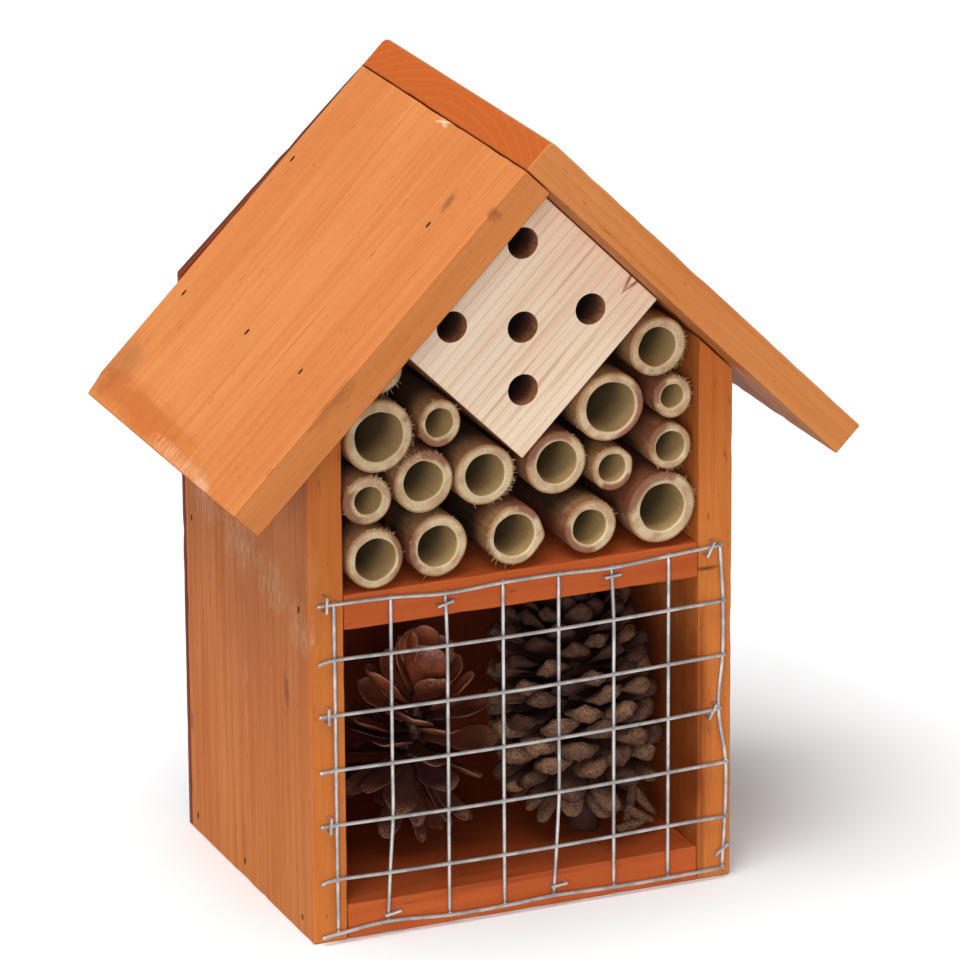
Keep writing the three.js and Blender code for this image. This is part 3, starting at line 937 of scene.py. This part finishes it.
def tight_cone():
    """The right cone: rows of thick, speckled scale ends, and reflexed scales around its stalk."""
    base = Vector((33, -14.5, 13)) * MM
    tip = Vector((29, -12, 104)) * MM
    stand = aimed(UPWARDS, base, tip - base)
    height = (tip - base).length
    generator = random.Random(23)
    shape, layers = cone_shape()
    spindle(
        shape, layers, stand,
        [(0.2 * height, 5 * MM), (0.3 * height, 9 * MM), (0.6 * height, 9 * MM),
         (0.93 * height, 3 * MM)],
    )
    stalk_base = Vector((33, -17, 12.4)) * MM
    stalk = aimed(UPWARDS, stalk_base, Vector((38, -14.5, 32)) * MM - stalk_base)
    spindle(
        shape, layers, stalk,
        [(0.0, 4.6 * MM), (1 * MM, 5.4 * MM), (9 * MM, 5.2 * MM), (21 * MM, 6 * MM)],
    )
    for i in range(TIGHT_SCALES):
        share = (i + 0.5) / TIGHT_SCALES
        upper = max(0.0, (share - 0.3) / 0.7)
        girth = lerp(25.5, 28.5, min(1.0, share / 0.2)) * (1 - 0.7 * upper**2.4)
        core = lerp(8, 4, share)
        tilt = radians(lerp(-42, 54, share**0.75) + generator.uniform(-8, 8))
        length = (girth - core) / max(0.5, cos(tilt)) * generator.uniform(0.94, 1.03)
        grown = min(1.0, share / 0.15)
        width = lerp(15.4, 6.5, upper**0.9) * lerp(0.68, 1.0, grown) * generator.uniform(0.92, 1.06)
        thick = lerp(6.6, 3.6, upper) * lerp(0.5, 1.0, grown)
        place = scale_place(
            stand, height * lerp(0.29, 0.9, share), i * GOLDEN_ANGLE, core * MM, tilt,
            generator.uniform(-0.3, 0.3),
        )
        cone_scale(
            shape, layers, place, (length * MM, width * MM, thick * MM),
            radians(10), GREY_SHAPE, generator,
        )
    for i in range(REFLEXED_SCALES):
        place = scale_place(
            stand, lerp(21, 27, generator.random()) * MM, i * GOLDEN_ANGLE, 5 * MM,
            radians(generator.uniform(-48, -18)), generator.uniform(-0.3, 0.3),
        )
        size = (generator.uniform(19, 23) * MM, 9 * MM, 2.6 * MM)
        cone_scale(shape, layers, place, size, -0.1, GREY_SHAPE, generator)
    for start, direction, size in FRAGMENTS:
        place = aimed(ACROSS_HOUSE, Vector(start) * MM, direction)
        cone_scale(
            shape, layers, place, [s * MM for s in size], 0.2, FRAGMENT_SHAPE, generator, bare=0.7
        )
    finish_shell(shape)
    add_piece("pine_cone_right_tight", shape, grey_material, "pine_cone_right")


def chestnut_scales():
    """Glossy red-brown scales with thin pale rims and fine lines along them. The rims and tips are
    partly painted highlight, and the lower scales carry painted shade.
    """
    finish = Finish("chestnut_scales")
    place = finish.position()
    along, edge, tone = (finish.attribute(name) for name in ("along", "edge", "tone"))
    cloud = finish.noise(place, 220.0, 4.0)
    fine = finish.noise(place, 1500.0, 3.0)
    mixed = finish.plus(finish.times(tone, 0.4), finish.times(cloud, 0.7))
    colour = finish.tint(CHESTNUT_DEEP, CHESTNUT_PALE, mixed, 0.3, 0.75)
    colour = finish.tint(colour, CHESTNUT_DEEP, fine, 0.5, 0.75, 0.3)
    # Pale rims: partly the scales' own paler edges, partly a painted highlight along them.
    rim = finish.math("MAXIMUM", finish.remap(along, 0.9, 0.985), finish.remap(edge, 0.93, 1.0))
    rim = finish.times(rim, finish.remap(cloud, 0.3, 0.6, 0.3, 0.85))
    rim = finish.times(rim, finish.remap(along, 0.3, 0.6))
    colour = finish.mix(rim, colour, CHESTNUT_RIM_AND_HIGHLIGHT)
    colour = finish.mix(finish.remap(along, 0.0, 0.4, 0.7, 0.0), colour, CHESTNUT_DEEP)
    # Painted shade: the lower scales are darker, where they hang under the upper ones.
    height = finish.node("SeparateXYZ", {"Vector": place}, "Z")
    colour = finish.mix(finish.remap(height, 0.045, 0.075, 0.8, 0.0), colour, CHESTNUT_PAINTED_SHADE)
    # Pale scale tips: partly weathering, partly a painted highlight where the light catches them.
    worn_and_highlit_tip = finish.times(finish.remap(along, 0.74, 0.93), finish.remap(fine, 0.42, 0.6))
    colour = finish.mix(finish.times(worn_and_highlit_tip, 0.45), colour, CHESTNUT_RIM_AND_HIGHLIGHT)
    finish.coat(colour, finish.remap(cloud, 0.3, 0.7, 0.32, 0.5))
    finish.shade("Specular IOR Level", 0.3)
    finish.relief(fine, 0.4, 0.12 * MM)
    return finish.material


def grey_scales():
    """Rough grey-brown scales: pale ends with dark speckles, and dark purple-brown roots."""
    finish = Finish("grey_scales")
    place = finish.position()
    along, edge, tone = (finish.attribute(name) for name in ("along", "edge", "tone"))
    cloud = finish.noise(place, 260.0, 4.0)
    rough = finish.noise(place, 900.0, 4.0)
    speckles = finish.dots(place, 1250.0, 0.2, 0.42)
    mixed = finish.plus(finish.times(tone, 0.6), finish.times(cloud, 0.6))
    height = finish.node("SeparateXYZ", {"Vector": place}, "Z")
    lift = finish.plus(
        finish.remap(height, 0.055, 0.09, 0.12, -0.34), finish.remap(height, 0.02, 0.045, -0.3, 0.0)
    )
    pale = finish.remap(finish.plus(mixed, lift), 0.3, 0.85)
    tip = finish.mix(pale, GREY_DEEP, GREY_PALE)
    speckle_share = finish.times(speckles, finish.remap(cloud, 0.35, 0.6, 0.5, 1.0))
    tip = finish.mix(speckle_share, tip, GREY_SPECK)
    tip = finish.tint(tip, GREY_DEEP, rough, 0.48, 0.68, 0.55)
    colour = finish.tint(GREY_DEEP, tip, along, 0.5, 0.75)
    colour = finish.tint(colour, GREY_DEEP, edge, 0.75, 1.0, 0.5)
    finish.coat(colour, finish.remap(cloud, 0.3, 0.7, 0.6, 0.85))
    finish.shade("Specular IOR Level", 0.2)
    relief = finish.math("SUBTRACT", finish.plus(cloud, rough), finish.times(speckles, 0.4))
    finish.relief(relief, 0.5, 0.3 * MM)
    return finish.material


# ---------- wire mesh, staples and hanger ----------

WIRE_RADIUS = 0.63 * MM
MESH_COLUMNS = 8
MESH_ROWS = 7
MESH_PITCH_X = 19.45 * MM
MESH_PITCH_Z = 18.85 * MM
WIRE_STEPS = 8
FASTENER_ROUNDING = 0.25 * MM
WELD_SHAPE = Matrix.Diagonal((1.35, 1.25, 1.35, 1))

# How far some crossings are pulled from the regular grid, by column and row from the low left,
# in millimetres to the right and up.
PULLED_CROSSINGS = {
    (1, 0): (-2.0, 1.5), (1, 1): (-1.2, 0.0), (4, 0): (-2.0, 0.6), (4, 1): (-0.9, 0.0),
    (2, 6): (-0.6, -1.0), (5, 6): (-0.8, -0.8), (7, 6): (-1.2, 0.6), (7, 3): (-1.4, 0.2),
    (7, 2): (1.3, 0.0), (7, 1): (1.2, -0.4), (7, 0): (0.2, 0.3),
}

# How far each cross wire's cut stub hangs below its first crossing, from the lowest wire up.
STUB_DROP = (-0.8, -1.0, 0.0, -0.2, 0.0, -1.0, 0.0)


def crossing(column, row):
    """Where two wires cross, as offsets in X and Z from the mesh's low left crossing."""
    right, up = PULLED_CROSSINGS.get((column, row), (0.0, 0.0))
    sag = sin(pi * column / (MESH_COLUMNS - 1)) * (0.0 if row == 0 else 1.1)
    return column * MESH_PITCH_X + right * MM, row * MESH_PITCH_Z + (up - sag) * MM


def smooth_path(points):
    """A Catmull-Rom curve through points, which first gains one point beyond each end."""
    ends = [2 * points[0] - points[1], *points, 2 * points[-1] - points[-2]]
    path = []
    for before, start, end, after in zip(ends, ends[1:], ends[2:], ends[3:]):
        for k in range(WIRE_STEPS):
            t = k / WIRE_STEPS
            path.append(0.5 * (
                2 * start + (end - before) * t
                + (2 * before - 5 * start + 4 * end - after) * t * t
                + (3 * start - 3 * end + after - before) * t**3
            ))
    return [*path, points[-1]]


def wire_mesh():
    """The welded mesh: uprights against the wood, cross wires in front, slightly bent by hand."""
    low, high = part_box("wire_mesh")
    upright_y = high.y - WIRE_RADIUS
    cross_y = low.y + WIRE_RADIUS
    left = high.x - WIRE_RADIUS - (MESH_COLUMNS - 1) * MESH_PITCH_X
    bottom = low.z + WIRE_RADIUS
    shape = bmesh.new()
    for column in range(MESH_COLUMNS):
        places = [crossing(column, row) for row in range(MESH_ROWS)]
        points = [Vector((left + x, upright_y, bottom + z)) for x, z in places]
        tube(shape, smooth_path(points), WIRE_RADIUS, 12)
    for row in range(MESH_ROWS):
        places = [crossing(column, row) for column in range(MESH_COLUMNS)]
        points = [Vector((left + x, cross_y, bottom + z)) for x, z in places]
        stub = Vector((low.x, cross_y, points[0].z + STUB_DROP[row] * MM))
        tube(shape, smooth_path([stub, *points]), WIRE_RADIUS, 12)
        for point in points:
            weld = Matrix.Translation(point + Vector((0, WIRE_RADIUS, 0))) @ WELD_SHAPE
            bmesh.ops.create_icosphere(shape, subdivisions=2, radius=WIRE_RADIUS, matrix=weld)
    finish_shell(shape)
    add_piece("wire_mesh_welded", shape, zinc_material, "wire_mesh")


def zinc():
    """Galvanised steel: bright, with soft duller spangles."""
    finish = Finish("zinc")
    cloud = finish.noise(finish.position(), 160.0, 3.0)
    colour = finish.tint(ZINC, ZINC_DULL, cloud, 0.35, 0.65)
    finish.coat(colour, finish.remap(cloud, 0.35, 0.65, 0.36, 0.48))
    finish.relief(cloud, 0.1, 0.04 * MM)
    finish.shade("Metallic", 0.85)
    return finish.material


def nail_steel():
    """Dark oxidised steel."""
    finish = Finish("nail_steel")
    cloud = finish.noise(finish.position(), 900.0, 3.0)
    colour = finish.tint(STEEL, STEEL_DARK, cloud, 0.3, 0.7)
    finish.coat(colour, finish.remap(cloud, 0.3, 0.7, 0.4, 0.7))
    finish.shade("Metallic", 0.8)
    return finish.material


def dress_fasteners():
    """Rounds the CAD staples and hanger, and gives the small metal parts their materials."""
    for name, node in cad_nodes.items():
        if name.startswith("staple") or name == "sawtooth_hanger":
            node.material_slots[0].material = zinc_material
            soften(node, FASTENER_ROUNDING)
        if name.startswith("brad_nail"):
            node.material_slots[0].material = steel_material


# ---------- the object ----------

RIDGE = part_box("roof_board_right")[1].z
LEFT_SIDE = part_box("side_panel_left")[0].x

UP_LEFT_SLOPE = (1, 0, 1)
DOWN_RIGHT_SLOPE = (1, 0, -1)
ACROSS_HOUSE = (1, 0, 0)
ACROSS_BLOCK = (-1, 0, 1)
BACKWARDS = (0, 1, 0)
UPWARDS = (0, 0, 1)


def left_roof_spot(from_ridge, from_front, *look):
    """A spot on the left slope, by its distances down the slope and back from the side panels."""
    down = from_ridge * DIAGONAL * MM
    return (Vector((-down, FRONT_FACE + from_front * MM, RIDGE - down)), *look)


def left_side_spot(from_front, height, *look):
    return (Vector((LEFT_SIDE, FRONT_FACE + from_front * MM, height * MM)), *look)


def front_spot(x, height, *look):
    return (Vector((x * MM, FRONT_FACE, height * MM)), *look)


LEFT_ROOF_SPOTS = [left_roof_spot(*mark) for mark in (
    (34, 2, (5.5, 2.6), 10, KNOT_BROWN, 0.55),
    (29, -24, (3.0, 2.2), 0, KNOT_BROWN, 0.5),
    (60, 60, (26, 1.2), 3, STAIN_END, 0.35),
    (95, 20, (22, 1.0), -2, STAIN_END, 0.4),
    (105, -24, (14, 2.2), 0, KNOT_BROWN, 0.35),
    (146, 70, (9, 60), 0, STAIN_END, 0.6),
    (138, 104, (16, 14), 0, KNOT_BROWN, 0.3),
    (80, 45, (40, 9), 0, STAIN_PALE, 0.4),
    (13.6, 40.5, (0.7, 6), 14, SCUFF_PALE, 0.8),
    (152, 6, (3, 9), 0, SCUFF_PALE, 0.35),
)]

LEFT_ROOF_SCUFFS = [left_roof_spot(*mark) for mark in (
    (13.6, 40.5, (7, 1.2), 76, SCUFF_PALE, 0.8),
    (150, 30, (4, 30), 0, SCUFF_PALE, 0.5),
)]

LEFT_SIDE_SPOTS = [left_side_spot(*mark) for mark in (
    (21, 81, (8, 2.8), 8, KNOT_BROWN, 0.55),
    (110, 39, (6, 2.4), 0, KNOT_BROWN, 0.45),
    (60, 92, (24, 26), 0, PANEL_DEEP, 0.5),
    (62, 14, (14, 3), 0, STAIN_END, 0.6),
    (0, 125, (16, 4), 0, STAIN_PALE, 0.5),
)]

LEFT_SIDE_SCUFFS = [left_side_spot(*mark) for mark in (
    (92, 124, (12, 16), 0, SCUFF_PALE, 0.5),
    (62, 119, (14, 20), 0, SCUFF_PALE, 0.5),
    (32, 114, (13, 18), 0, SCUFF_PALE, 0.5),
    (8, 106, (12, 12), 0, SCUFF_PALE, 0.5),
    (58, 60, (40, 3), 0, SCUFF_PALE, 0.25),
)]

# Painted shade inside the house: the right panel's inner face and the bottom's top face are darkened
# where the inside lies in shade.
RIGHT_SIDE_SPOTS = [
    (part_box("side_panel_right")[0] + Vector((0, 34, 44)) * MM, (90, 76), 0, INSIDE_PAINTED_SHADE, 0.8),
    front_spot(65, 109, (1.0, 4), 0, KNOT_BROWN, 0.9),
]
BOTTOM_PAINTED_SHADE_SPOTS = [(Vector((0, 6, 12)) * MM, (130, 70), 0, INSIDE_PAINTED_SHADE, 0.7)]

BLOCK_SPOTS = [front_spot(*mark) for mark in (
    (37.3, 211, (7, 0.8), 15, CHESTNUT_PALE, 0.85),
    (39.5, 209.5, (7, 0.8), -15, CHESTNUT_PALE, 0.85),
    (6, 180, (26, 1.2), 2, PINE_STREAK, 0.4),
    (18, 186, (22, 0.9), 0, PINE_STREAK, 0.35),
    (-6, 178, (20, 0.8), 0, PINE_STREAK, 0.35),
    (20, 218, (18, 0.8), 0, PINE_STREAK, 0.3),
    (2, 192, (34, 0.6), 0, PINE_STREAK, 0.35),
    (12, 200, (30, 2.2), 0, PINE_DEEP, 0.5),
)]

BARE_PINE = (PINE_PALE, PINE_DEEP, PINE_STREAK)
STAINED_ROOF = (STAIN_PALE, STAIN_DEEP, STAIN_END)
STAINED_PANEL = (PANEL_PALE, PANEL_DEEP, STAIN_END)
STAINED_SHELF = (SHELF_PALE, SHELF_DEEP, STAIN_END)
# The plywood tones carry painted shade for the inside of the house.
PLY_IN_PAINTED_SHADE = (PLY_PALE_PAINTED_SHADE, PLY_DEEP_PAINTED_SHADE, PLY_GLUE)


pit_material = pit_wood()
hole_material = hole_wood()
cane_material = bamboo()
chestnut_material = chestnut_scales()
grey_material = grey_scales()
zinc_material = zinc()
steel_material = nail_steel()
block_material = wood(
    "bare_pine", UP_LEFT_SLOPE, ACROSS_BLOCK, (0, -80, -40), BARE_PINE,
    spacing=3.4, contrast=0.24, fleck=0.0, spots=BLOCK_SPOTS,
)

# Each board's node and its grain: its directions along and across, and its pith. Then its tones,
# the spacing and contrast of its rings, and what it has besides.
BOARDS = [
    ("roof_board_left", "left_roof_wood", UP_LEFT_SLOPE, BACKWARDS, (0, -14, -120), STAINED_ROOF,
     4.2, 0.14, {"spots": LEFT_ROOF_SPOTS, "scuffs": LEFT_ROOF_SCUFFS},
     {"pits": (range(1, 6), (-1, 0, 1))}),
    ("roof_board_right", "right_roof_wood", DOWN_RIGHT_SLOPE, BACKWARDS, (0, 12, -60), STAINED_ROOF,
     3.6, 0.16, {}, {"ridge": True, "pits": (range(11, 16), (1, 0, 1))}),
    ("side_panel_left", "left_side_wood", UPWARDS, BACKWARDS, (0, 30, 20), STAINED_PANEL,
     3.4, 0.1, {"spots": LEFT_SIDE_SPOTS, "scuffs": LEFT_SIDE_SCUFFS},
     {"pits": (range(6, 11), (-1, 0, 0))}),
    ("side_panel_right", "right_side_wood", UPWARDS, BACKWARDS, (0, -24, 130), STAINED_PANEL,
     3.4, 0.16, {"spots": RIGHT_SIDE_SPOTS}, {"pits": (range(16, 21), (1, 0, 0))}),
    ("shelf", "shelf_wood", ACROSS_HOUSE, BACKWARDS, (0, 10, -160), STAINED_SHELF,
     3.4, 0.16, {}, {}),
    ("bottom_board", "bottom_wood", ACROSS_HOUSE, BACKWARDS, (0, -20, 40), STAINED_SHELF,
     3.4, 0.16, {"spots": BOTTOM_PAINTED_SHADE_SPOTS}, {}),
    ("back_panel", "stained_ply", UPWARDS, ACROSS_HOUSE, (0, 15, -170), PLY_IN_PAINTED_SHADE,
     4.5, 0.25, {}, {"slot": "stained_ply"}),
]

for seed, (node, name, along, across, *grain, marks, extras) in enumerate(BOARDS, start=1):
    board(node, along, across, wood(name, along, across, *grain, **marks), seed, **extras)
drilled_block()
for number, look in enumerate(CANE_LOOKS, start=1):
    cane(number, look)
open_cone()
tight_cone()
wire_mesh()
dress_fasteners()

# ---------- stage, light and camera ----------

CAMERA_AZIMUTH = -22.804
CAMERA_ELEVATION = 19.045
CAMERA_ROLL = -0.395
CAMERA_DISTANCE = 2.1266
CAMERA_LENS = 243.0
CAMERA_TARGET = Vector((0.0082, 0.0086, 0.1301))

FLOOR_HALF_SIZE = 20
SKY_GLOW = 0.42
FLOOR_GLOW = 0.3
HORIZON_BLEND = 0.15
KEY_SIDE = (-0.26, -0.15, 0.72)
KEY_POWER = 2.5
FILL_SIDE = (-0.45, -0.88, 0.1)
FILL_POWER = 2.3
LIGHT_SPREAD = 40


def add_floor():
    """A pale floor. The light that it would throw up onto the object comes from the world."""
    shape = bmesh.new()
    bmesh.ops.create_grid(shape, x_segments=1, y_segments=1, size=FLOOR_HALF_SIZE)
    finish = Finish("floor")
    finish.coat((0.92, 0.92, 0.92, 1), 0.9)
    floor = add_object("floor", to_mesh("floor", shape, finish.material))
    floor.visible_diffuse = False


def add_sun(name, towards_light, power):
    light = bpy.data.lights.new(name, "SUN")
    light.energy = power
    light.angle = radians(LIGHT_SPREAD)
    lamp = add_object(name, light)
    lamp.rotation_mode = "QUATERNION"
    lamp.rotation_quaternion = Vector(towards_light).to_track_quat("Z", "Y")


def add_world():
    """Soft light from all round: the sky's from above, and the floor's dimmer light from below."""
    world = bpy.data.worlds.new("studio")
    world.use_nodes = True
    tree = world.node_tree
    direction = tree.nodes.new("ShaderNodeTexCoord").outputs["Generated"]
    split = tree.nodes.new("ShaderNodeSeparateXYZ")
    rise = tree.nodes.new("ShaderNodeMapRange")
    background = tree.nodes["Background"]
    tree.links.new(direction, split.inputs["Vector"])
    tree.links.new(split.outputs["Z"], rise.inputs["Value"])
    tree.links.new(rise.outputs["Result"], background.inputs["Strength"])
    limits = {"From Min": -HORIZON_BLEND, "From Max": HORIZON_BLEND}
    limits |= {"To Min": FLOOR_GLOW, "To Max": SKY_GLOW}
    for name, value in limits.items():
        rise.inputs[name].default_value = value
    background.inputs["Color"].default_value = (1, 1, 1, 1)
    bpy.context.scene.world = world


def add_camera():
    azimuth, elevation = radians(CAMERA_AZIMUTH), radians(CAMERA_ELEVATION)
    back = Vector((
        sin(azimuth) * cos(elevation),
        -cos(azimuth) * cos(elevation),
        sin(elevation),
    ))
    camera = add_object("camera", bpy.data.cameras.new("camera"))
    level = (-back).to_track_quat("-Z", "Y")
    camera.rotation_mode = "QUATERNION"
    camera.rotation_quaternion = level @ Quaternion((0, 0, 1), radians(CAMERA_ROLL))
    camera.location = CAMERA_TARGET + CAMERA_DISTANCE * back
    camera.data.lens = CAMERA_LENS
    bpy.context.scene.camera = camera


add_floor()
add_sun("key", KEY_SIDE, KEY_POWER)
add_sun("fill", FILL_SIDE, FILL_POWER)
add_world()
add_camera()
bpy.context.scene.view_settings.view_transform = "Standard"
